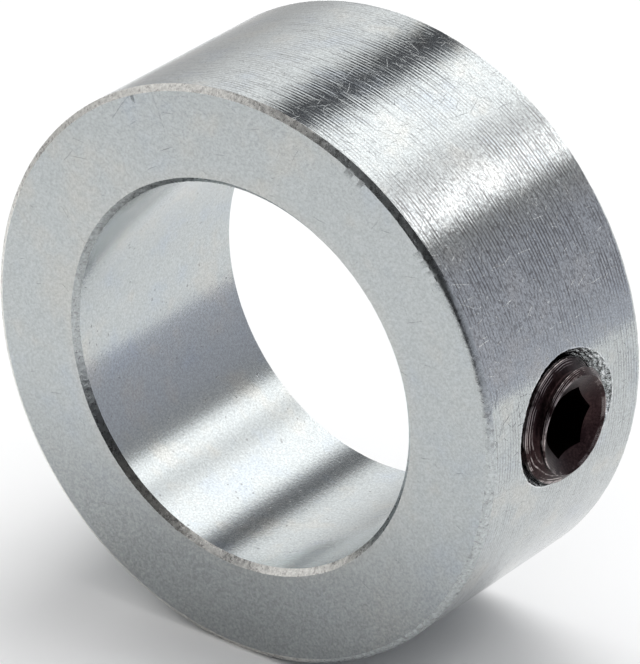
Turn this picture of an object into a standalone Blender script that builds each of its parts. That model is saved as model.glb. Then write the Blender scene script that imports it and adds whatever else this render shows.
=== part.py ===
"""Set-screw shaft collar for a 1 inch shaft.

A turned steel ring has one tapped radial hole, and a cup point socket set screw runs in it.

Frame, in metres: the origin is the centre of the bore. +Y runs along the bore, away from the
front face. +X runs out along the set screw. +Z is up.
"""

import math

import bmesh
import bpy
from mathutils import Matrix, Vector

INCH = 0.0254
OVERRUN = 0.001  # how far a cutter runs past the surface that it cuts

# Collar ring
OUTER_RADIUS = 0.75 * INCH
SHAFT_RADIUS = 0.5 * INCH
BORE_CLEARANCE = 0.000025
BORE_RADIUS = SHAFT_RADIUS + BORE_CLEARANCE
WIDTH = 0.625 * INCH
OUTER_CHAMFER = 0.00038
BORE_CHAMFER = 0.00036
RING_FACETS = 128

# 5/16-18 thread, right-handed, with its axis on +X
THREAD_PITCH = INCH / 18
THREAD_MAJOR_RADIUS = 5 / 32 * INCH
THREAD_HEIGHT = THREAD_PITCH * math.sqrt(3) / 2  # of the sharp V
PITCH_RADIUS = THREAD_MAJOR_RADIUS - 3 / 8 * THREAD_HEIGHT
FLANK_SLOPE = math.tan(math.radians(30))
FLANK_ALLOWANCE = 0.00003  # along the axis, given to each flank of screw and hole
SCREW_CREST_RADIUS = THREAD_MAJOR_RADIUS - 0.00004
SCREW_ROOT_RADIUS = 0.00308
HOLE_CREST_RADIUS = 0.00322
HOLE_ROOT_RADIUS = THREAD_MAJOR_RADIUS + 0.00005
THREAD_FACETS = 48  # in one turn
TAP_START = BORE_RADIUS - 1.35 * THREAD_PITCH  # where the hole's groove passes the axis on the +Y side
DIE_START = TAP_START + THREAD_PITCH / 2  # so that the screw's ridges lie in the hole's groove

# Countersink of the hole: 45 degrees, and drilled a little off the thread's axis
MOUTH_RADIUS = 0.00475  # level with the top of the ring's curve
MOUTH_BOTTOM_RADIUS = 0.0026
MOUTH_OFFSET = Vector((0, -0.0001, 0.0003))

# Set screw, 1/4 inch long
SCREW_LENGTH = 0.25 * INCH
SCREW_STANDOFF = 0.00058  # how far the screw stands out of the ring
SCREW_END_X = OUTER_RADIUS + SCREW_STANDOFF
SCREW_FACETS = 48
END_RIM_RADIUS = 0.0032
DISH_RADIUS = 0.0019
DISH_DEPTH = (END_RIM_RADIUS - DISH_RADIUS) * math.tan(math.radians(30))
SOCKET_ACROSS_FLATS = 5 / 32 * INCH
SOCKET_DEPTH = 0.0030
SOCKET_TURN = math.radians(-25)  # of the hexagon, from a pair of flats square to +Z
DRILL_RADIUS = 0.0019
DRILL_CONE_DEPTH = DRILL_RADIUS * math.tan(math.radians(30))

# Cup point: a 45 degree cone outside and a 118 degree cone inside
CUP_RIM_RADIUS = 0.00215
CUP_RADIUS = 0.00200
CUP_SLOPE = math.tan(math.radians(59))
POINT_LENGTH = 0.00095  # the plain stretch that reaches no thread crest of the ring
PARTING_GAP = 0.00010  # between the threaded body and its point

RING_COLOUR = (0.62, 0.64, 0.66, 1.0)
SCREW_COLOUR = (0.055, 0.045, 0.040, 1.0)


def clear_scene():
    for obj in list(bpy.data.objects):
        bpy.data.objects.remove(obj, do_unlink=True)


def new_collection(name):
    collection = bpy.data.collections.new(name)
    bpy.context.scene.collection.children.link(collection)
    return collection


def metal(name, colour, roughness):
    material = bpy.data.materials.new(name)
    material.use_nodes = True
    shader = material.node_tree.nodes["Principled BSDF"]
    shader.inputs["Base Color"].default_value = colour
    shader.inputs["Metallic"].default_value = 1.0
    shader.inputs["Roughness"].default_value = roughness
    return material


def add_object(name, mesh, collection):
    obj = bpy.data.objects.new(name, mesh)
    collection.objects.link(obj)
    return obj


def turned(name, profile, facets, collection, closed=False):
    """A profile of (radius, height) points, turned about the object's own Z axis."""
    count = len(profile)
    edges = [(i, i + 1) for i in range(count - 1)]
    if closed:
        edges.append((count - 1, 0))
    mesh = bpy.data.meshes.new(name)
    mesh.from_pydata([(radius, 0, height) for radius, height in profile], edges, [])
    obj = add_object(name, mesh, collection)
    screw = obj.modifiers.new("Turn", "SCREW")
    screw.axis = "Z"
    screw.steps = facets
    screw.render_steps = facets
    screw.use_merge_vertices = True
    screw.merge_threshold = 0.000001
    return obj


def helix_cutter(name, half_widths, start, end, collection):
    """A right-handed helical bar about the object's own Z axis. Its section has a (radius,
    half width) pair for its inner edge and one for its outer edge."""
    (inner, inner_half), (outer, outer_half) = half_widths
    corners = [(inner, -inner_half), (outer, -outer_half), (outer, outer_half), (inner, inner_half)]
    steps = math.ceil((end - start) / THREAD_PITCH * THREAD_FACETS)
    shape = bmesh.new()
    section = shape.faces.new([shape.verts.new((radius, 0, start + z)) for radius, z in corners])
    bmesh.ops.spin(
        shape,
        geom=[section] + list(section.edges) + list(section.verts),
        axis=(0, 0, 1),
        cent=(0, 0, 0),
        dvec=(0, 0, THREAD_PITCH / THREAD_FACETS),
        angle=steps * 2 * math.pi / THREAD_FACETS,
        steps=steps,
    )
    bmesh.ops.holes_fill(shape, edges=shape.edges)
    bmesh.ops.recalc_face_normals(shape, faces=shape.faces)
    mesh = bpy.data.meshes.new(name)
    shape.to_mesh(mesh)
    shape.free()
    return add_object(name, mesh, collection)


def prism_cutter(name, facets, radius, tip_radius, low, high, collection):
    """A prism or cone between two heights on the object's own Z axis, tip_radius at the low end."""
    shape = bmesh.new()
    bmesh.ops.create_cone(
        shape, cap_ends=True, segments=facets, radius1=tip_radius, radius2=radius, depth=high - low
    )
    bmesh.ops.translate(shape, verts=shape.verts, vec=Vector((0, 0, (low + high) / 2)))
    mesh = bpy.data.meshes.new(name)
    shape.to_mesh(mesh)
    shape.free()
    return add_object(name, mesh, collection)


def cut(obj, *cutters):
    for cutter in cutters:
        cutter.hide_render = True
        cutter.display_type = "WIRE"
        boolean = obj.modifiers.new("Cut " + cutter.name, "BOOLEAN")
        boolean.operation = "DIFFERENCE"
        boolean.solver = "EXACT"
        boolean.object = cutter


def point_along_x(obj, x):
    """Turns the object's own Z axis to +X and puts its origin at x on that axis."""
    obj.rotation_euler = (math.pi / 2, 0, math.pi / 2)
    obj.location = (x, 0, 0)


def finish(obj, material):
    obj.data.materials.append(material)
    obj.data.shade_smooth()
    obj.data.set_sharp_from_angle(angle=math.radians(30))


def groove_half_width(radius):
    """Half the width of the gap between two thread ridges of the screw."""
    return THREAD_PITCH / 4 + (radius - PITCH_RADIUS) * FLANK_SLOPE + FLANK_ALLOWANCE


def ridge_half_width(radius):
    """Half the width of the thread groove that the tap leaves in the hole's wall."""
    return THREAD_PITCH / 4 - (radius - PITCH_RADIUS) * FLANK_SLOPE + FLANK_ALLOWANCE


def collar_ring(parts, cutters, steel):
    half = WIDTH / 2
    profile = [
        (OUTER_RADIUS, half - OUTER_CHAMFER),
        (OUTER_RADIUS, -half + OUTER_CHAMFER),
        (OUTER_RADIUS - OUTER_CHAMFER, -half),
        (BORE_RADIUS + BORE_CHAMFER, -half),
        (BORE_RADIUS, -half + BORE_CHAMFER),
        (BORE_RADIUS, half - BORE_CHAMFER),
        (BORE_RADIUS + BORE_CHAMFER, half),
        (OUTER_RADIUS - OUTER_CHAMFER, half),
    ]
    ring = turned("collar_ring", profile, RING_FACETS, parts, closed=True)
    ring.rotation_euler = (-math.pi / 2, 0, 0)

    mouth_height = OUTER_RADIUS + OVERRUN
    low = BORE_RADIUS - OVERRUN
    hole = prism_cutter(
        "hole_cutter", THREAD_FACETS, HOLE_CREST_RADIUS, HOLE_CREST_RADIUS, low, mouth_height, cutters
    )
    point_along_x(hole, 0)

    top_radius = MOUTH_RADIUS + OVERRUN
    low = mouth_height - (top_radius - MOUTH_BOTTOM_RADIUS)
    mouth = prism_cutter(
        "mouth_cutter", THREAD_FACETS, top_radius, MOUTH_BOTTOM_RADIUS, low, mouth_height, cutters
    )
    point_along_x(mouth, 0)
    mouth.location += MOUTH_OFFSET

    thread_foot = HOLE_CREST_RADIUS - 0.0001
    section = [(r, ridge_half_width(r)) for r in (thread_foot, HOLE_ROOT_RADIUS)]
    tap = helix_cutter("tap_cutter", section, TAP_START, mouth_height, cutters)
    point_along_x(tap, 0)

    cut(ring, hole, mouth, tap)
    finish(ring, steel)
    return ring


def cone_radius(height_above_tip):
    """The point's outer radius, at a height above the screw's inner end."""
    return CUP_RIM_RADIUS + height_above_tip


def cup_radius(height_above_tip):
    """The radius of the hollow in the point, at a height above the screw's inner end."""
    return CUP_RADIUS - height_above_tip * CUP_SLOPE


def set_screw(parts, cutters, steel):
    foot = POINT_LENGTH + PARTING_GAP
    chamfer = SCREW_CREST_RADIUS - END_RIM_RADIUS
    profile = [
        (0, -DISH_DEPTH),
        (DISH_RADIUS, -DISH_DEPTH),
        (END_RIM_RADIUS, 0),
        (SCREW_CREST_RADIUS, -chamfer),
        (SCREW_CREST_RADIUS, SCREW_CREST_RADIUS - CUP_RIM_RADIUS - SCREW_LENGTH),
        (cone_radius(foot), foot - SCREW_LENGTH),
        (cup_radius(foot), foot - SCREW_LENGTH),
        (0, CUP_RADIUS / CUP_SLOPE - SCREW_LENGTH),
    ]
    screw = turned("set_screw", profile, SCREW_FACETS, parts)
    point_along_x(screw, SCREW_END_X)

    crest = SCREW_CREST_RADIUS + 0.00005
    section = [(r, groove_half_width(r)) for r in (SCREW_ROOT_RADIUS, crest)]
    die = helix_cutter("die_cutter", section, DIE_START, SCREW_END_X + THREAD_PITCH, cutters)
    point_along_x(die, 0)

    corner_radius = SOCKET_ACROSS_FLATS / math.sqrt(3)
    socket = prism_cutter(
        "socket_cutter", 6, corner_radius, corner_radius, -SOCKET_DEPTH, OVERRUN, cutters
    )
    socket.data.transform(Matrix.Rotation(SOCKET_TURN, 4, "Z"))
    point_along_x(socket, SCREW_END_X)

    low = -SOCKET_DEPTH - DRILL_CONE_DEPTH
    drill = prism_cutter("drill_cutter", SCREW_FACETS, DRILL_RADIUS, 0, low, -SOCKET_DEPTH, cutters)
    point_along_x(drill, SCREW_END_X)

    cut(screw, die, socket, drill)
    finish(screw, steel)
    return screw


def set_screw_point(parts, steel):
    profile = [
        (cone_radius(POINT_LENGTH), POINT_LENGTH - SCREW_LENGTH),
        (cone_radius(0), -SCREW_LENGTH),
        (cup_radius(0), -SCREW_LENGTH),
        (cup_radius(POINT_LENGTH), POINT_LENGTH - SCREW_LENGTH),
    ]
    point = turned("set_screw_point", profile, SCREW_FACETS, parts, closed=True)
    point_along_x(point, SCREW_END_X)
    finish(point, steel)
    return point


def main():
    clear_scene()
    parts = new_collection("shaft_collar")
    cutters = new_collection("cutters")
    zinc_plated = metal("zinc_plated_steel", RING_COLOUR, 0.32)
    black_oxide = metal("black_oxide_steel", SCREW_COLOUR, 0.45)
    collar_ring(parts, cutters, zinc_plated)
    set_screw(parts, cutters, black_oxide)
    set_screw_point(parts, black_oxide)


main()
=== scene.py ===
"""The looks of a set-screw shaft collar: a turned, zinc plated ring and its black oxide set screw.

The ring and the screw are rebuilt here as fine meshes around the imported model, in its own frame:
metres, the bore along Y, the set screw out along +X, +Z up.
"""

import math

import bmesh
import bpy
import numpy as np
from mathutils import Matrix, Vector, noise


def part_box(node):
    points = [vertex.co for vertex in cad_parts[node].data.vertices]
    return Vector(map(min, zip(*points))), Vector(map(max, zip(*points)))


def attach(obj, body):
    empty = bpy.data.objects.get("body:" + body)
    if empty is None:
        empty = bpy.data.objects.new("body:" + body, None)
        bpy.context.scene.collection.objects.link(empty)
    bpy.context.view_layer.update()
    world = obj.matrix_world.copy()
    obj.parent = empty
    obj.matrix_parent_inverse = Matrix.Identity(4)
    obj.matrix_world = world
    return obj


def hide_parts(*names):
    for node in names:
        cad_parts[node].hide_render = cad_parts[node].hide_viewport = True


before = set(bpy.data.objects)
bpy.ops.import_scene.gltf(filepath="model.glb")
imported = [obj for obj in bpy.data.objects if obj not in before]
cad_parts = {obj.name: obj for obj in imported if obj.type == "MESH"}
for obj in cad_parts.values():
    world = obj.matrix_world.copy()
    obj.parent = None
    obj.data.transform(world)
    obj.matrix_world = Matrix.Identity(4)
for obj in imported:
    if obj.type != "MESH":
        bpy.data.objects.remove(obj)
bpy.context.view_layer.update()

MM = 0.001
TURN = 2 * math.pi

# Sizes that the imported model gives
RING_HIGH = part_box("collar_ring")[1]
OUTER_RADIUS = RING_HIGH.z
HALF_WIDTH = RING_HIGH.y
BORE_RADIUS = min(math.hypot(v.co.x, v.co.z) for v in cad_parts["collar_ring"].data.vertices)
SCREW_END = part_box("set_screw")[1].x
SCREW_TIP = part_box("set_screw_point")[0].x
CREST_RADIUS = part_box("set_screw")[1].z

# Edges of the ring
OUTER_CHAMFER = 0.38 * MM  # its leg on the face
OUTER_CHAMFER_SIDE = 0.26 * MM  # its leg on the outside
ROLLED_SIDE = 0.19 * MM  # how much longer that leg is where the edge is rolled over
ROLLED_MIDDLE = math.radians(-15)  # the middle of the rolled stretch, as an angle from +X towards +Z
ROLLED_START, ROLLED_FULL = 0.45, 0.73  # cosines from that middle, between which the roll comes in
BORE_CHAMFER = 0.36 * MM
EDGE_WANDER = 0.06 * MM  # how far a chamfer's edge strays, always into the metal
EDGE_PITTING = 0.04 * MM
RING_STEPS = 960
OUTSIDE, EDGE, FACE, BORE = range(4)  # the ring's materials
PAST = 1 * MM  # how far a cutter reaches past the metal

# The 5/16-18 thread, and the mouth of its hole
PITCH = 25.4 / 18 * MM
PITCH_RADIUS = (5 / 32 * 25.4 - 3 / 8 * 25.4 / 18 * math.sqrt(3) / 2) * MM
FLANK_SLOPE = math.tan(math.radians(30))
FLANK_ALLOWANCE = 0.03 * MM
ROOT_RADIUS = 3.15 * MM
HOLE_CREST_RADIUS = 3.24 * MM
HOLE_ROOT_RADIUS = 4.01 * MM
TAP_START = BORE_RADIUS - 1.35 * PITCH
DIE_START = TAP_START + PITCH / 2
THREAD_STEPS = 240
ROOT_ROUND = 0.12 * MM
CREST_ROUND = 0.06 * MM
THREAD_END_ROUND = 0.05 * MM
SEAM = 0.05 * MM  # the depth and half the width of the rolling seam along the crest
MOUTH_RADIUS = 4.80 * MM
MOUTH_DEPTH = 3.1 * MM  # of its cutter, which starts PAST outside the ring
MOUTH_OFFSET = Vector((0, -0.10, 0.36)) * MM
MOUTH_CHATTER = 0.07 * MM

# The rest of the screw
SCREW_STEPS = 288
SCREW_ROW = 0.03 * MM  # between the rings of points along it
RIM_RADIUS = 3.20 * MM
RIM_ROUND = 0.03 * MM
DISH_RADIUS = 1.90 * MM
DISH_DEPTH = (RIM_RADIUS - DISH_RADIUS) * FLANK_SLOPE
SOCKET_RADIUS = 5 / 32 * 25.4 / math.sqrt(3) * MM
SOCKET_DEPTH = 3.0 * MM
SOCKET_TURN = math.radians(-25)
DRILL_RADIUS = 1.9 * MM
DRILL_OVERLAP = 0.01 * MM
CUP_RIM_RADIUS = 2.15 * MM
CUP_RADIUS = 2.00 * MM
CUP_DEPTH = CUP_RADIUS / math.tan(math.radians(59))

# Camera
CAMERA_AZIMUTH = 36.84
CAMERA_ELEVATION = 27.64
CAMERA_ROLL = 0.67
CAMERA_DISTANCE = 0.36258
CAMERA_AIM = Vector((0.20, 0.15, -0.01)) * MM
CAMERA_LENS = 317.1

# The studio: brightness round the collar's axis, in degrees from +X up over the top to -X. It is a
# pale room below, a grey wall, two soft boxes over the back, a gap, and a bright scrim to the left.
STUDIO_ARC = [
    (-180, 0.60), (-165, 0.55), (-150, 0.68), (-130, 0.95), (-30, 0.95), (-16, 0.70),
    (0, 0.54), (12, 0.50), (30, 0.45), (48, 0.32),
    (52, 1.82), (61, 1.96), (66, 1.18), (75, 1.15), (80, 1.80), (106, 1.90),
    (111, 0.18), (126, 0.06),
    (131, 1.25), (142, 1.30), (152, 1.17), (164, 0.92), (180, 0.60),
]
ARC_START, ARC_END = STUDIO_ARC[0][0], STUDIO_ARC[-1][0]
BRIGHTEST = max(level for _, level in STUDIO_ARC)
WALL_AND_GAP = [(-20, 48), (106, 127)]  # the stretches of it that have the tint
WALL_TINT = (0.95, 0.97, 1.07)
SKEW = math.radians(34)  # how far the soft boxes' edges lean over from front to back
SKEW_MIDDLE = 0.71  # the part of a direction along Y at which they stand where STUDIO_ARC says
SKEW_START = 0.55  # the part at which the lean starts
DARK_SIDE = Vector((0.42, -0.72, 0.55)).normalized()  # the unlit room behind the camera
DARK_FROM, DARK_FULL = 0.70, 0.84  # cosines from its middle, between which it darkens
DARK_LEVEL = 0.13
FRONT_FROM, FRONT_FULL = 0.2, -0.4  # parts of a direction along Y, between which the front dims
FRONT_FILL = 0.75
BACKDROP = 1.0
TABLE_RADIUS = 110 * MM
TABLE_LIGHTS = [("overhead", (-0.2, 0.7, 1.9), 13.0), ("beside_camera", (0.9, -1.2, 1.4), 6.0)]
TABLE_LIGHT_SIZE = 1.3


# ---------------------------------------------------------------- node helpers


class Nodes:
    """A shader node tree, with short calls for its nodes."""

    def __init__(self, tree):
        self.tree = tree

    def feed(self, socket, value):
        if isinstance(value, bpy.types.NodeSocket):
            self.tree.links.new(value, socket)
        else:
            socket.default_value = value

    def node(self, kind, settings=None, **inputs):
        node = self.tree.nodes.new("ShaderNode" + kind)
        for name, value in (settings or {}).items():
            setattr(node, name, value)
        for name, value in inputs.items():
            self.feed(node.inputs[name], value)
        return node

    def math(self, operation, *values):
        node = self.node("Math", {"operation": operation})
        for socket, value in zip(node.inputs, values):
            self.feed(socket, value)
        return node.outputs[0]

    def vector(self, operation, first, second):
        node = self.node("VectorMath", {"operation": operation})
        self.feed(node.inputs[0], first)
        self.feed(node.inputs["Scale" if operation == "SCALE" else 1], second)
        return node.outputs[0]

    def join(self, x, y, z=0.0):
        return self.node("CombineXYZ", X=x, Y=y, Z=z).outputs[0]

    def noise(self, vector, scale, detail=2.0, roughness=0.5):
        node = self.node("TexNoise", Vector=vector, Scale=scale, Detail=detail, Roughness=roughness)
        return node.outputs[0]

    def ramp(self, value, low, high, to_low=0.0, to_high=1.0):
        node = self.node("MapRange", {"interpolation_type": "SMOOTHSTEP"}, Value=value)
        limits = {"From Min": low, "From Max": high, "To Min": to_low, "To Max": to_high}
        for name, number in limits.items():
            self.feed(node.inputs[name], number)
        return node.outputs[0]

    def product(self, first, second):
        return self.math("MULTIPLY", first, second)

    def mix(self, factor, first, second):
        node = self.node("Mix", {"data_type": "RGBA"})
        self.feed(node.inputs[0], factor)
        self.feed(node.inputs[6], first)
        self.feed(node.inputs[7], second)
        return node.outputs[2]

    def total(self, *terms):
        """The sum of (amount, value) terms."""
        result = 0.0
        for amount, value in terms:
            result = self.math("MULTIPLY_ADD", value, amount, result)
        return result

    def radius(self, across, up):
        squares = self.math("ADD", self.product(across, across), self.product(up, up))
        return self.math("SQRT", squares)


class Paint(Nodes):
    """One procedural material. Lengths in its maths are in mm."""

    def __init__(self, name):
        self.material = bpy.data.materials.new(name)
        self.material.use_nodes = True
        super().__init__(self.material.node_tree)
        self.shader = self.tree.nodes["Principled BSDF"]
        self.place = self.vector("SCALE", self.node("TexCoord").outputs["Object"], 1 / MM)
        self.x, self.y, self.z = self.node("SeparateXYZ", Vector=self.place).outputs

    def around_y(self, radius):
        """Flat coordinates on a cylinder about Y: the arc round it and the way along it."""
        return self.product(self.math("ARCTAN2", self.z, self.x), radius / MM), self.y

    def stretched(self, arc, share, scale, detail=2.0, roughness=0.5):
        """Noise on a cylinder about Y, drawn out along the arc."""
        return self.noise(self.join(self.product(arc, share), self.y), scale, detail, roughness)

    def from_mouth(self):
        """The distance from the countersink's axis."""
        return self.radius(
            self.math("SUBTRACT", self.y, MOUTH_OFFSET.y / MM),
            self.math("SUBTRACT", self.z, MOUTH_OFFSET.z / MM),
        )

    def scratches(self, flat, cell, length, width, density, turn=1.0, seed=0.0):
        """Short bent scratches, at most one in each cell of about that size, with its own direction."""
        moved = self.vector("ADD", flat, (seed, seed * 1.7, 0.0))
        bend = self.node("TexNoise", Vector=moved, Scale=0.9 / length).outputs["Color"]
        bent = self.vector("ADD", moved, self.vector("SCALE", bend, 5.0 * width))
        cells = self.node("TexVoronoi", {"voronoi_dimensions": "2D"}, Vector=bent, Scale=1 / cell)
        luck = self.node("SeparateColor", Color=cells.outputs["Color"]).outputs
        offset = self.vector("SUBTRACT", bent, cells.outputs["Position"])
        angle = self.product(self.math("SUBTRACT", luck[0], 0.5), turn * math.pi)
        turned = self.node("VectorRotate", {"rotation_type": "Z_AXIS"}, Vector=offset, Angle=angle)
        along, across, _ = self.node("SeparateXYZ", Vector=turned.outputs[0]).outputs
        reach = self.product(luck[1], length / 2)
        line = self.ramp(self.math("ABSOLUTE", across), width / 2, 0.0)
        stretch = self.ramp(self.math("SUBTRACT", reach, self.math("ABSOLUTE", along)), 0.0, length / 5)
        present = self.math("LESS_THAN", luck[2], density)
        return self.product(self.product(line, stretch), present)

    def relief(self, height):
        """Bumps from a height in mm."""
        bump = self.node("Bump", Height=height, Distance=MM, Strength=1.0)
        self.feed(self.shader.inputs["Normal"], bump.outputs[0])

    def speckle(self, colour, amount, scale):
        """The colour made lighter and darker, grain by grain."""
        grain = self.noise(self.place, scale, 2.0, 0.7)
        level = self.ramp(grain, 0.25, 0.75, 1 - amount, 1 + amount)
        return self.vector("SCALE", colour, level)

    def finish(self, colour, roughness, metallic=1.0):
        self.feed(self.shader.inputs["Base Color"], colour)
        self.feed(self.shader.inputs["Roughness"], roughness)
        self.shader.inputs["Metallic"].default_value = metallic
        return self.material


# ---------------------------------------------------------------- materials

ZINC = (0.480, 0.508, 0.512, 1.0)
ZINC_WARM = (0.510, 0.519, 0.503, 1.0)
ZINC_BLUE = (0.460, 0.499, 0.530, 1.0)
ZINC_DARK = (0.200, 0.195, 0.195, 1.0)
# painted reflection colour for the chamfers
ZINC_EDGE_REFLECTION = (0.700, 0.690, 0.660, 1.0)
# painted shade colour for the faces' lower part, for the table's shadow that they mirror
ZINC_PAINTED_SHADOW = (0.312, 0.328, 0.332, 1.0)
# painted highlight colour: the glint round the hole's mouth, the sheen above the screw, and the chatter's
# peaks
PAINTED_HIGHLIGHT = (0.850, 0.870, 0.880, 1.0)
# painted shade colour for the chatter's hollows in the tapped hole
PAINTED_PIT_SHADE = (0.050, 0.050, 0.048, 1.0)
OXIDE = (0.022, 0.012, 0.013, 1.0)
OXIDE_BROWN = (0.038, 0.023, 0.023, 1.0)
# colour of rubbed oxide and painted highlight on the screw's edges
OXIDE_WORN_HIGHLIGHT = (0.500, 0.440, 0.430, 1.0)


def zinc_tint(paint, spread=0.30):
    """The faint cool and warm clouds of a clear chromate over zinc."""
    clouds = paint.noise(paint.place, spread, 3.0, 0.6)
    cool = paint.mix(paint.ramp(clouds, 0.52, 0.72), ZINC, ZINC_BLUE)
    return paint.mix(paint.ramp(clouds, 0.48, 0.30), cool, ZINC_WARM)


# Scratches as (cell, length, width, share, spread of directions, seed), in mm: dark rubs that run with
# the turning marks, and bright nicks that run any way
TURNED_RUBS = [(0.9, 2.2, 0.045, 0.60, 0.40, 3.1), (0.5, 0.9, 0.040, 0.50, 0.70, 8.4)]
TURNED_NICKS = [(1.3, 1.9, 0.038, 0.45, 1.40, 0.0), (0.5, 0.7, 0.036, 0.45, 2.00, 11.9)]


def turned_zinc():
    """The ring's outside: a fine helical tool mark, zinc grain, nicks from handling, a worn, mottled
    stretch above the screw drawn lighter as a painted sheen, and a painted highlight round the hole."""
    paint = Paint("turned_zinc")
    arc, along = paint.around_y(OUTER_RADIUS)
    streaks = paint.stretched(arc, 0.05, 5.0, 2.0, 0.7)
    patches = paint.ramp(paint.noise(paint.place, 0.30, 3.0, 0.6), 0.36, 0.62, 0.25, 1.0)
    grain = paint.noise(paint.place, 5.5, 3.0, 0.75)
    marks = paint.product(tool_mark(paint, arc, along), patches)
    marks = paint.product(marks, paint.ramp(paint.stretched(arc, 0.12, 2.6), 0.35, 0.65, 0.3))

    flat = paint.join(arc, along)
    rubs = paint.math("MAXIMUM", *[paint.scratches(flat, *cell) for cell in TURNED_RUBS])
    nicks = paint.math("MAXIMUM", *[paint.scratches(flat, *cell) for cell in TURNED_NICKS])
    scars = paint.total((-0.014, nicks), (-0.004, rubs))
    paint.relief(paint.total((0.0034, marks), (0.009, streaks), (0.0038, grain), (1.0, scars)))

    # The worn stretch above the screw: darker lines and mottling from wear, and its colour lightened as a
    # painted sheen.
    wear_and_painted_sheen = paint.product(paint.ramp(paint.x, 9.0, 12.0), paint.ramp(paint.z, 4.0, 8.0))
    shade = paint.mix(paint.product(wear_and_painted_sheen, 0.30), zinc_tint(paint), PAINTED_HIGHLIGHT)
    scarred = paint.math("MAXIMUM", paint.product(rubs, 0.75), paint.product(nicks, 0.25))
    shade = paint.mix(scarred, shade, ZINC_DARK)
    line = paint.product(paint.ramp(marks, 0.0, 0.7), paint.total((0.4, wear_and_painted_sheen), (1.0, 0.52)))
    shade = paint.mix(line, shade, ZINC_DARK)
    mottle = paint.ramp(paint.stretched(arc, 0.45, 6.5, 2.0, 0.7), 0.50, 0.62, 0.0, 0.65)
    shade = paint.mix(paint.product(mottle, wear_and_painted_sheen), shade, ZINC_DARK)
    # A painted highlight in broken stretches round the hole's mouth, for a burr's glint.
    lip_highlight = paint.product(mouth_lip_highlight(paint), 0.6)
    shade = paint.mix(lip_highlight, paint.speckle(shade, 0.24, 8.0), PAINTED_HIGHLIGHT)
    return paint.finish(shade, paint.total((0.05, grain), (0.02, patches), (1.0, 0.07)))


def tool_mark(paint, arc, along):
    """The lathe's mark, from -1 to 1: a helix with its feed in mm, a little unsteady."""
    feed = 0.27
    helix = paint.total(
        (1.0, along),
        (feed / (TURN * OUTER_RADIUS / MM), arc),
        (0.10, paint.stretched(arc, 0.25, 1.2)),
    )
    return paint.math("SINE", paint.product(helix, TURN / feed))


def mouth_lip_highlight(paint):
    """1 along a thin ring round the hole's mouth, in broken stretches: a painted highlight for the glint of
    the burr there.
    """
    wobble = paint.noise(paint.place, 1.9)
    off_lip = paint.total(
        (1.0, paint.from_mouth()),
        (-1.0, paint.x),
        (0.16, wobble),
        (1.0, (OUTER_RADIUS - MOUTH_RADIUS) / MM - 0.12),
    )
    lip_highlight = paint.ramp(paint.math("ABSOLUTE", off_lip), 0.07, 0.02)
    return paint.product(lip_highlight, paint.ramp(wobble, 0.42, 0.50))


def bore_zinc():
    """The bore: smooth, satin and a little brighter, with only a trace of the reamer."""
    paint = Paint("bore_zinc")
    arc, _ = paint.around_y(BORE_RADIUS)
    streaks = paint.stretched(arc, 0.15, 4.0, 2.0, 0.6)
    grain = paint.noise(paint.place, 5.0, 3.0, 0.75)
    specks = paint.ramp(paint.noise(paint.place, 3.3, 0.0), 0.80, 0.84)
    paint.relief(paint.total((0.003, streaks), (0.0045, grain), (-0.004, specks)))
    colour = paint.mix(paint.product(specks, 0.5), zinc_tint(paint), ZINC_DARK)
    polished = paint.vector("SCALE", paint.speckle(colour, 0.16, 7.5), 1.07)
    return paint.finish(polished, paint.total((0.06, grain), (1.0, 0.15)))


def face_zinc():
    """The two flat faces: dull, with a crawling fine texture and a few long scratches, and painted
    darker towards the bottom: painted shade for the table's shadow that they mirror."""
    paint = Paint("face_zinc")
    grain = paint.noise(paint.place, 4.5, 4.0, 0.75)
    worms = paint.noise(paint.place, 2.0, 2.0, 0.5)
    flat = paint.join(paint.x, paint.z)
    scratches = paint.scratches(flat, 3.4, 4.5, 0.06, 0.35, 2.0)
    hairs = paint.scratches(flat, 1.3, 1.7, 0.05, 0.35, 2.0, 7.7)
    marks = paint.math("MAXIMUM", scratches, hairs)
    paint.relief(paint.total((0.009, grain), (0.010, worms), (-0.006, marks)))
    radius = paint.radius(paint.x, paint.z)
    near_bore = paint.ramp(radius, BORE_RADIUS / MM + 1.5, BORE_RADIUS / MM, 0.0, 0.8)
    shade = paint.mix(near_bore, zinc_tint(paint, 0.22), ZINC_WARM)
    # Painted shade: the faces are drawn darker towards the bottom, for the table's shadow that they mirror.
    painted_shadow_low = paint.product(paint.ramp(paint.z, -3.0, -15.0), paint.ramp(grain, 0.35, 0.65, 0.55, 1.0))
    shade = paint.mix(painted_shadow_low, shade, ZINC_PAINTED_SHADOW)
    shade = paint.mix(paint.product(marks, 0.20), shade, ZINC_DARK)
    return paint.finish(paint.speckle(shade, 0.14, 7.0), paint.total((0.10, grain), (1.0, 0.20)))


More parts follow.
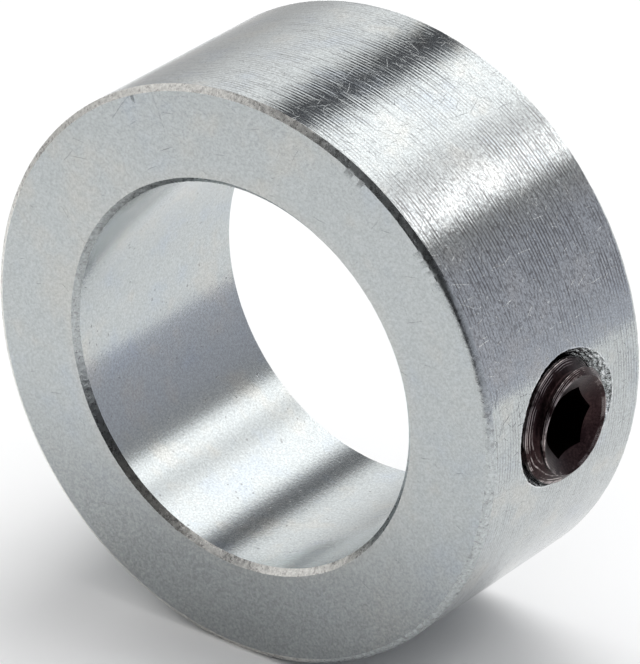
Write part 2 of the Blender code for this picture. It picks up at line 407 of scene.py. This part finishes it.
def edge_zinc():
    """The chamfers: torn by the tool, so rough and uneven, with painted shade in the tears' hollows. A
    painted reflection makes the outer ones lighter except on the right, and the bore's lighter low down."""
    paint = Paint("edge_zinc")
    tears = paint.noise(paint.place, 2.6, 4.0, 0.75)
    grain = paint.noise(paint.place, 8.0, 2.0, 0.6)
    paint.relief(paint.total((0.018, tears), (0.008, grain)))
    # Painted shade: the tears' hollows are drawn darker.
    pit_shade = paint.ramp(tears, 0.48, 0.38, 0.0, 0.45)
    # Painted reflection: the outer chamfers are drawn lighter except on the right, and the bore's low down.
    outer = paint.ramp(paint.radius(paint.x, paint.z), BORE_RADIUS / MM + 1, BORE_RADIUS / MM + 2)
    outer_painted_reflection = paint.product(outer, paint.ramp(paint.x, 8.0, 4.0))
    bore_painted_reflection = paint.product(paint.math("SUBTRACT", 1.0, outer), paint.ramp(paint.z, -7.0, -10.0))
    painted_reflection = paint.math("MAXIMUM", outer_painted_reflection, bore_painted_reflection)
    colour = paint.mix(pit_shade, paint.mix(painted_reflection, ZINC, ZINC_EDGE_REFLECTION), ZINC_DARK)
    return paint.finish(paint.speckle(colour, 0.20, 5.0), paint.total((0.2, tears), (1.0, 0.18)))


def thread_zinc():
    """The tapped hole and its countersink: chattered in rings and thinly plated, with painted shade in the
    chatter's hollows and painted highlights on its peaks.
    """
    paint = Paint("thread_zinc")
    chatter = paint.noise(paint.place, 4.2, 4.0, 0.8)
    grain = paint.noise(paint.place, 9.0, 2.0, 0.6)
    ringed = paint.total((1.0, paint.from_mouth()), (0.5, paint.noise(paint.place, 0.8)))
    rings = paint.math("SINE", paint.product(ringed, TURN / 0.24))
    paint.relief(paint.total((0.075, chatter), (0.014, grain), (0.014, rings)))
    # Painted shade in the chatter's hollows and painted highlights on its peaks.
    pit_shade = paint.ramp(chatter, 0.48, 0.41, 0.0, 0.9)
    peak_highlight = paint.ramp(chatter, 0.54, 0.59)
    colour = paint.mix(pit_shade, paint.mix(peak_highlight, ZINC, PAINTED_HIGHLIGHT), PAINTED_PIT_SHADE)
    return paint.finish(paint.speckle(colour, 0.30, 6.0), paint.total((0.2, chatter), (1.0, 0.14)))


def black_oxide():
    """The screw: oiled black oxide, maroon cast, thread edges rubbed and with a painted highlight."""
    paint = Paint("black_oxide")
    radius = paint.radius(paint.y, paint.z)
    grain = paint.noise(paint.place, 6.0, 3.0, 0.7)
    clouds = paint.noise(paint.place, 1.1, 2.0, 0.5)
    spacing = 0.21
    rings = paint.math("SINE", paint.total((TURN / spacing, radius), (0.4 * TURN / spacing, paint.x)))
    paint.relief(paint.total((0.0015, rings), (0.012, grain)))
    skin = paint.mix(paint.ramp(clouds, 0.35, 0.70), OXIDE, OXIDE_BROWN)
    # Rubbed oxide and a painted highlight along the thread's edges and the rim.
    colour = paint.mix(thread_wear_and_highlight(paint, radius), paint.speckle(skin, 0.4, 6.0), OXIDE_WORN_HIGHLIGHT)
    return paint.finish(colour, paint.total((0.14, grain), (1.0, 0.27)))


def thread_wear_and_highlight(paint, radius):
    """How much the screw is lightened, along the thread and on the rim, in broken stretches: rubbed oxide
    and a painted highlight.
    """
    chamfer_radius = paint.total((-1.0, paint.x), (1.0, (SCREW_END + RIM_RADIUS) / MM))
    wear_and_painted_sheen = paint.math(
        "MAXIMUM",
        crest_wear_and_highlight(paint, radius, chamfer_radius),
        rim_wear_and_highlight(paint, radius, chamfer_radius),
    )
    breaks = paint.ramp(paint.noise(paint.place, 0.9, 3.0, 0.65), 0.42, 0.60)
    return paint.product(wear_and_painted_sheen, breaks)


def crest_wear_and_highlight(paint, radius, chamfer_radius):
    """1 where the screw is drawn bright: on the edges that the thread's groove leaves on the crests and the
    end chamfer, and on fine lines beside them. Rubbed oxide and a painted highlight."""
    turn = paint.math("DIVIDE", paint.math("ARCTAN2", paint.z, paint.y), TURN)
    phase = paint.total((MM / PITCH, paint.x), (1.0, -DIE_START / PITCH), (-1.0, turn))
    off_centre = paint.math("PINGPONG", phase, 0.5)
    half_width = paint.total((FLANK_SLOPE, radius), (1.0, (PITCH / 4 - PITCH_RADIUS * FLANK_SLOPE) / MM))
    past_edge = paint.total((PITCH / MM, off_centre), (-1.0, half_width))
    blank = paint.math("MINIMUM", chamfer_radius, CREST_RADIUS / MM)
    below = paint.math("SUBTRACT", blank, radius)

    edge = paint.ramp(paint.math("ABSOLUTE", past_edge), 0.06, 0.02)
    edge = paint.product(edge, paint.ramp(below, 0.08, 0.04))
    waver = paint.noise(paint.place, 1.4, 2.0)
    spacing = 0.13
    ripple = paint.total((TURN / spacing, past_edge), (TURN / spacing, below), (4.0, waver))
    painted_highlight_lines = paint.ramp(paint.math("SINE", ripple), 0.60, 0.95)
    painted_highlight_lines = paint.product(painted_highlight_lines, paint.ramp(below, 0.45, 0.30))
    return paint.math("MAXIMUM", edge, painted_highlight_lines)


def rim_wear_and_highlight(paint, radius, chamfer_radius):
    """1 on the rounded rim of the screw's outer end: rubbed oxide and a painted highlight."""
    rim = RIM_RADIUS / MM
    outermost = paint.ramp(radius, rim - 0.04, rim + 0.01)
    return paint.product(outermost, paint.ramp(chamfer_radius, rim + 0.07, rim + 0.03))


# ---------------------------------------------------------------- mesh helpers


def mesh_object(name, points, faces, zones=None):
    mesh = bpy.data.meshes.new(name)
    mesh.from_pydata([tuple(p) for p in points], [], [tuple(f) for f in faces])
    if zones is not None:
        mesh.polygons.foreach_set("material_index", zones)
    mesh.update()
    obj = bpy.data.objects.new(name, mesh)
    bpy.context.scene.collection.objects.link(obj)
    return obj


def lathe(name, profile, steps):
    """A profile of (radius, height) points turned about +X, the height being x. It runs from the
    outer end down to the inner end, and starts and ends on the axis."""
    points = []
    for radius, height in profile[1:-1]:
        for step in range(steps):
            angle = TURN * step / steps
            points.append((height, radius * math.cos(angle), radius * math.sin(angle)))
    top, bottom = len(points), len(points) + 1
    points.append((profile[0][1], 0, 0))
    points.append((profile[-1][1], 0, 0))
    rows = len(profile) - 2
    faces = []
    for step in range(steps):
        after = (step + 1) % steps
        faces.append((top, step, after))
        for row in range(rows - 1):
            low, high = row * steps, (row + 1) * steps
            faces.append((low + step, high + step, high + after, low + after))
        last = (rows - 1) * steps
        faces.append((bottom, last + after, last + step))
    return mesh_object(name, points, faces)


def helix(name, section, start, end):
    """A right-handed helical bar about +X. Its section is a list of (radius, x) points."""
    count = math.ceil((end - start) / PITCH * THREAD_STEPS)
    points, faces = [], []
    for step in range(count + 1):
        angle = TURN * step / THREAD_STEPS
        advance = start + PITCH * step / THREAD_STEPS
        for radius, x in section:
            points.append((advance + x, radius * math.cos(angle), radius * math.sin(angle)))
    size = len(section)
    for step in range(count):
        here, there = step * size, (step + 1) * size
        for i in range(size):
            after = (i + 1) % size
            faces.append((here + i, here + after, there + after, there + i))
    faces.append(tuple(reversed(range(size))))
    faces.append(tuple(count * size + i for i in range(size)))
    return closed_outward(mesh_object(name, points, faces))


def closed_outward(obj):
    shape = bmesh.new()
    shape.from_mesh(obj.data)
    bmesh.ops.recalc_face_normals(shape, faces=shape.faces)
    shape.to_mesh(obj.data)
    shape.free()
    return obj


def prism(name, sides, radius, turn, low, high):
    angles = [turn + TURN * (i + 0.5) / sides for i in range(sides)]
    ring = [(radius * math.cos(a), radius * math.sin(a)) for a in angles]
    points = [(low, y, z) for y, z in ring] + [(high, y, z) for y, z in ring]
    faces = [(i, (i + 1) % sides, sides + (i + 1) % sides, sides + i) for i in range(sides)]
    faces += [tuple(range(sides)), tuple(range(sides, 2 * sides))]
    return closed_outward(mesh_object(name, points, faces))


def cut(obj, cutters, material=None):
    """Cuts the cutters out of obj for good, and removes them."""
    for cutter in cutters:
        if material is not None:
            cutter.data.materials.append(material)
        boolean = obj.modifiers.new("cut", "BOOLEAN")
        boolean.operation = "DIFFERENCE"
        boolean.solver = "EXACT"
        boolean.material_mode = "TRANSFER"
        boolean.object = cutter
    bpy.context.view_layer.update()
    evaluated = obj.evaluated_get(bpy.context.evaluated_depsgraph_get())
    mesh = bpy.data.meshes.new_from_object(evaluated)
    obj.modifiers.clear()
    obj.data = mesh
    for cutter in cutters:
        bpy.data.objects.remove(cutter)


def smooth(obj, sharp_from):
    """Smooth shading, but for edges sharper than an angle in degrees."""
    obj.data.shade_smooth()
    obj.data.set_sharp_from_angle(angle=math.radians(sharp_from))
    weighted = obj.modifiers.new("even shading", "WEIGHTED_NORMAL")
    weighted.keep_sharp = True
    weighted.mode = "FACE_AREA_WITH_ANGLE"


def eased(value, low, high):
    """0 at low and before it, 1 at high and past it, and smooth between them."""
    share = min(1.0, max(0.0, (value - low) / (high - low)))
    return share * share * (3 - 2 * share)


def arc(centre, radius, start, end, steps):
    """Points on an arc of a profile, its angles in degrees from +radius towards +height."""
    angles = [math.radians(start + (end - start) * i / steps) for i in range(steps + 1)]
    return [(centre[0] + radius * math.cos(a), centre[1] + radius * math.sin(a)) for a in angles]


# ---------------------------------------------------------------- the ring


def ring_zones():
    """The ring's section as (radius, y, zone, wander) rows, once round it from the rear outer edge.
    Wander says which way a chamfer's edge may stray: along y, along the radius, or in by pitting."""
    outer_side = HALF_WIDTH - OUTER_CHAMFER_SIDE
    bore_side = HALF_WIDTH - BORE_CHAMFER
    face_top = OUTER_RADIUS - OUTER_CHAMFER
    face_foot = BORE_RADIUS + BORE_CHAMFER
    runs = [
        (OUTER_RADIUS, outer_side, 48, OUTSIDE, "y", ""),
        (OUTER_RADIUS, -outer_side, 8, EDGE, "y", "pit"),
        (face_top, -HALF_WIDTH, 8, FACE, "r", ""),
        (face_foot, -HALF_WIDTH, 4, EDGE, "r", "pit"),
        (BORE_RADIUS, -bore_side, 24, BORE, "y", ""),
        (BORE_RADIUS, bore_side, 4, EDGE, "y", "pit"),
        (face_foot, HALF_WIDTH, 8, FACE, "r", ""),
        (face_top, HALF_WIDTH, 8, EDGE, "r", "pit"),
    ]
    rows = []
    for run, following in zip(runs, runs[1:] + runs[:1]):
        radius, y, steps, zone, first, inner = run
        for i in range(steps):
            along = i / steps
            place = [radius + (following[0] - radius) * along, y + (following[1] - y) * along]
            rows.append((*place, zone, first if i == 0 else inner))
    return rows


def stray(angle, seed):
    """Uneven from 0 to 1 round the ring: slow drift, chatter, and a few deep nicks."""
    place = Vector((math.cos(angle), math.sin(angle), seed))
    drift = noise.fractal(place * 6, 1.0, 2.0, 3) * 0.5 + 0.5
    chatter = noise.noise(place * 55) * 0.5 + 0.5
    nick = max(0.0, noise.noise(place * 23 + Vector((7, 0, 0))) - 0.45) * 3
    return min(1.0, max(0.0, 0.35 * drift + 0.4 * chatter + nick))


def broken_edge(radius, y, angle):
    """Moves a point of the straight outer chamfer to where the hand-broken edge is. The edge is a
    plain chamfer over the top and round the left, and rolls over to the outside on the right."""
    rolled = eased(math.cos(angle - ROLLED_MIDDLE), ROLLED_START, ROLLED_FULL)
    t = min(1.0, max(0.0, (OUTER_RADIUS - radius) / OUTER_CHAMFER))
    side = OUTER_CHAMFER_SIDE + ROLLED_SIDE * rolled
    knee_down = OUTER_CHAMFER * (0.5 - 0.12 * rolled)
    knee_in = OUTER_CHAMFER_SIDE * (0.5 - 0.45 * rolled)
    down = 2 * t * (1 - t) * knee_down + t * t * OUTER_CHAMFER
    in_from_face = (1 - t) ** 2 * side + 2 * t * (1 - t) * knee_in
    return OUTER_RADIUS - down, math.copysign(HALF_WIDTH - in_from_face, y)


def uneven_edge(radius, y, angle, wander):
    """Moves a point of a chamfer to where its uneven edge or its pitted surface is."""
    outer = radius > (OUTER_RADIUS + BORE_RADIUS) / 2
    if wander == "y":
        reach = EDGE_WANDER * stray(angle, (0 if outer else 2) + math.copysign(4, y))
        y -= math.copysign(reach, y)
    elif wander == "r":
        reach = EDGE_WANDER * stray(angle, (2 if outer else 0) + math.copysign(9, y))
        radius += -reach if outer else reach
    elif wander == "pit":
        place = Vector((math.cos(angle) * radius, y, math.sin(angle) * radius)) / MM
        y -= math.copysign(EDGE_PITTING * min(1.0, noise.turbulence(place * 1.6, 3, True)), y)
    return radius, y


def collar_ring(zinc, hole_metal):
    """The whole ring. Its list of zinc finishes is in the order OUTSIDE, EDGE, FACE, BORE."""
    rows = ring_zones()
    points, faces, zones = [], [], []
    face_top = OUTER_RADIUS - OUTER_CHAMFER - 0.001 * MM
    for step in range(RING_STEPS):
        angle = TURN * step / RING_STEPS
        for radius, y, _, wander in rows:
            if abs(y) > HALF_WIDTH - OUTER_CHAMFER and radius > face_top:
                radius, y = broken_edge(radius, y, angle)
            radius, y = uneven_edge(radius, y, angle, wander)
            points.append((radius * math.cos(angle), y, radius * math.sin(angle)))
    count = len(rows)
    for step in range(RING_STEPS):
        here, there = step * count, (step + 1) % RING_STEPS * count
        for i, (_, _, zone, _) in enumerate(rows):
            after = (i + 1) % count
            faces.append((here + i, there + i, there + after, here + after))
            zones.append(zone)
    ring = closed_outward(mesh_object("turned_collar_ring", points, faces, zones))
    for material in zinc:
        ring.data.materials.append(material)
    cut(ring, [hole_cutter(), mouth_cutter(), tap_cutter()], hole_metal)
    smooth(ring, 28)
    return ring


def hole_cutter():
    top, bottom = OUTER_RADIUS + PAST, BORE_RADIUS - PAST
    profile = [(0, top), (HOLE_CREST_RADIUS, top), (HOLE_CREST_RADIUS, bottom), (0, bottom)]
    return closed_outward(lathe("hole_cutter", profile, 256))


def mouth_cutter():
    """The countersink: a 45 degree cone, rough from chatter, a little off the thread's axis."""
    top = OUTER_RADIUS + PAST
    downs = np.linspace(0, MOUTH_DEPTH, 40)
    flare = [(MOUTH_RADIUS + PAST - down, top - down) for down in downs]
    mouth = lathe("mouth_cutter", [(0, top)] + flare + [(0, top - MOUTH_DEPTH)], 288)
    for vertex in mouth.data.vertices:
        side = Vector((0, vertex.co.y, vertex.co.z))
        if side.length > 1 * MM:
            chatter = noise.fractal(vertex.co / MM * 1.9, 0.8, 2.0, 3)
            vertex.co += side.normalized() * chatter * MOUTH_CHATTER
        vertex.co += MOUTH_OFFSET
    return closed_outward(mouth)


def tap_cutter():
    def half(radius):
        return PITCH / 4 - (radius - PITCH_RADIUS) * FLANK_SLOPE + FLANK_ALLOWANCE

    foot = HOLE_CREST_RADIUS - 0.1 * MM
    section = [(foot, -half(foot)), (HOLE_ROOT_RADIUS, -half(HOLE_ROOT_RADIUS))]
    section += [(HOLE_ROOT_RADIUS, half(HOLE_ROOT_RADIUS)), (foot, half(foot))]
    return helix("tap_cutter", section, TAP_START, OUTER_RADIUS + PAST)


# ---------------------------------------------------------------- the screw


def smooth_min(a, b, blend):
    """The lower of two surfaces, rounded where they cross."""
    share = np.clip(0.5 + 0.5 * (b - a) / blend, 0, 1)
    return b + (a - b) * share - blend * share * (1 - share)


def thread_radius(x, angle):
    """The rolled thread alone: its groove, its crests, and the fine seam along each crest."""
    phase = (x - DIE_START) / PITCH - angle / TURN
    off_centre = np.abs(phase - np.round(phase)) * PITCH
    flank = PITCH_RADIUS + (off_centre - PITCH / 4) / FLANK_SLOPE
    groove = -smooth_min(-flank, -ROOT_RADIUS, ROOT_ROUND)
    to_seam = PITCH / 2 - off_centre
    crest = CREST_RADIUS - SEAM * np.clip(1 - to_seam / SEAM, 0, 1)
    return smooth_min(groove, crest, CREST_ROUND)


def filled_in(profile, step):
    """The profile with points added so that none are further apart than the step."""
    points = [profile[0]]
    for start, end in zip(profile, profile[1:]):
        count = math.ceil(math.dist(start, end) / step)
        points += [tuple(np.array(start) + (np.array(end) - start) * (i + 1) / count) for i in range(count)]
    return points


def screw_profile():
    """The unthreaded screw's (radius, x) points, from the middle of its dish round to its cup."""
    chamfer = CREST_RADIUS - RIM_RADIUS
    length = SCREW_END - SCREW_TIP
    outside = arc((RIM_RADIUS, -RIM_ROUND), RIM_ROUND, 115, 45, 4)
    outside += [(CREST_RADIUS, -chamfer), (CREST_RADIUS, CREST_RADIUS - CUP_RIM_RADIUS - length)]
    outside += [(CUP_RIM_RADIUS, -length), (CUP_RADIUS, -length)]
    profile = [(0, -DISH_DEPTH), (DISH_RADIUS, -DISH_DEPTH)]
    profile += filled_in(outside, SCREW_ROW)
    profile += [(0, CUP_DEPTH - length)]
    return [(radius, SCREW_END + height) for radius, height in profile]


def set_screw(oxide):
    """The whole screw: a turned blank with the thread pressed in, and then the socket cut."""
    screw = lathe("black_oxide_set_screw", screw_profile(), SCREW_STEPS)
    for vertex in screw.data.vertices:
        x, y, z = vertex.co
        radius = math.hypot(y, z)
        if radius > CUP_RIM_RADIUS:
            thread = thread_radius(x, math.atan2(z, y))
            threaded = float(smooth_min(radius, thread, THREAD_END_ROUND))
            vertex.co = (x, y * threaded / radius, z * threaded / radius)
    closed_outward(screw)
    screw.data.materials.append(oxide)
    cut(screw, socket_cutters())
    smooth(screw, 32)
    return screw


def socket_cutters():
    """The hexagon, and the drilled cone at its bottom."""
    floor = SCREW_END - SOCKET_DEPTH
    hexagon = prism("socket_cutter", 6, SOCKET_RADIUS, SOCKET_TURN, floor, SCREW_END + PAST)
    top = floor + DRILL_OVERLAP
    profile = [(0, top), (DRILL_RADIUS, top), (0, floor - DRILL_RADIUS * FLANK_SLOPE)]
    return [hexagon, closed_outward(lathe("drill_cutter", profile, 96))]


# ---------------------------------------------------------------- stage


def studio_floor():
    """A small round white table, so that a low reflection passes its edge and sees the studio."""
    steps = 128
    angles = [TURN * i / steps for i in range(steps)]
    rim = [(TABLE_RADIUS * math.cos(a), TABLE_RADIUS * math.sin(a), -OUTER_RADIUS) for a in angles]
    floor = mesh_object("studio_floor", rim, [tuple(range(steps))])
    paint = Paint("pale_floor")
    paint.shader.inputs["Specular IOR Level"].default_value = 0.0
    white = paint.mix(paint.noise(paint.place, 0.01), (0.90, 0.90, 0.90, 1), (0.92, 0.92, 0.92, 1))
    floor.data.materials.append(paint.finish(white, 1.0, 0.0))


def studio_light():
    """The studio as a world: its brightness by direction, and a plain backdrop for the camera."""
    world = bpy.data.worlds.new("soft_studio")
    world.use_nodes = True
    nodes = Nodes(world.node_tree)
    nodes.tree.nodes.clear()
    direction = nodes.node("TexCoord").outputs["Generated"]
    x, y, z = nodes.node("SeparateXYZ", Vector=direction).outputs

    facing = nodes.node("VectorMath", {"operation": "DOT_PRODUCT"})
    nodes.feed(facing.inputs[0], direction)
    nodes.feed(facing.inputs[1], DARK_SIDE)
    dark_side = nodes.ramp(facing.outputs["Value"], DARK_FROM, DARK_FULL, BRIGHTEST, DARK_LEVEL)
    front = nodes.ramp(y, FRONT_FROM, FRONT_FULL, 1.0, FRONT_FILL)

    lights = nodes.node(
        "Background",
        Color=studio_walls(nodes, nodes.math("ARCTAN2", z, x), y),
        Strength=nodes.product(dark_side, front),
    )
    backdrop = nodes.node("Background", Color=(BACKDROP, BACKDROP, BACKDROP, 1))
    both = nodes.node("MixShader")
    nodes.feed(both.inputs[0], nodes.node("LightPath").outputs["Is Camera Ray"])
    nodes.feed(both.inputs[1], lights.outputs[0])
    nodes.feed(both.inputs[2], backdrop.outputs[0])
    nodes.node("OutputWorld", Surface=both.outputs[0])
    bpy.context.scene.world = world


def studio_walls(nodes, angle, y):
    """STUDIO_ARC as a colour ramp by the angle round the collar's axis, leaning from front to back.
    Its brightest level is 1."""
    lean = nodes.total(
        (SKEW, nodes.math("MAXIMUM", y, SKEW_START)),
        (1.0, -SKEW * SKEW_MIDDLE - math.radians(ARC_START)),
    )
    share = nodes.math("DIVIDE", nodes.math("ADD", angle, lean), math.radians(ARC_END - ARC_START))
    ramp = nodes.node("ValToRGB", Fac=share)
    stops = ramp.color_ramp.elements
    while len(stops) < len(STUDIO_ARC):
        stops.new(1.0)
    for stop, (degrees, level) in zip(stops, STUDIO_ARC):
        stop.position = (degrees - ARC_START) / (ARC_END - ARC_START)
        tinted = any(start < degrees < end for start, end in WALL_AND_GAP)
        tint = WALL_TINT if tinted else (1, 1, 1)
        stop.color = (*[level / BRIGHTEST * part for part in tint], 1)
    return ramp.outputs[0]


def table_lights():
    """Two soft lights for the table, over the back and beside the camera, which thin the collar's
    shadow. The metal doesn't mirror them."""
    for name, place, watts in TABLE_LIGHTS:
        data = bpy.data.lights.new(name, "AREA")
        data.shape = "SQUARE"
        data.size = TABLE_LIGHT_SIZE
        data.energy = watts
        lamp = bpy.data.objects.new(name, data)
        bpy.context.scene.collection.objects.link(lamp)
        lamp.location = place
        lamp.rotation_euler = (-lamp.location).to_track_quat("-Z", "Y").to_euler()
        lamp.visible_glossy = False


def camera():
    data = bpy.data.cameras.new("camera")
    data.sensor_width = 36
    data.lens = CAMERA_LENS
    data.clip_start = 0.01
    data.clip_end = 10
    obj = bpy.data.objects.new("camera", data)
    bpy.context.scene.collection.objects.link(obj)
    azimuth, elevation = math.radians(CAMERA_AZIMUTH), math.radians(CAMERA_ELEVATION)
    flat = math.cos(elevation)
    back = Vector((math.sin(azimuth) * flat, -math.cos(azimuth) * flat, math.sin(elevation)))
    obj.location = CAMERA_AIM + back * CAMERA_DISTANCE
    level = back.to_track_quat("Z", "Y").to_matrix()
    obj.rotation_euler = (level @ Matrix.Rotation(math.radians(CAMERA_ROLL), 3, "Z")).to_euler()
    bpy.context.scene.camera = obj


def main():
    camera()
    studio_light()
    table_lights()
    studio_floor()
    bpy.context.scene.view_settings.view_transform = "Standard"

    ring = collar_ring([turned_zinc(), edge_zinc(), face_zinc(), bore_zinc()], thread_zinc())
    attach(ring, "collar")
    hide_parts("collar_ring")

    screw = set_screw(black_oxide())
    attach(screw, "screw")
    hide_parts("set_screw", "set_screw_point")


main()
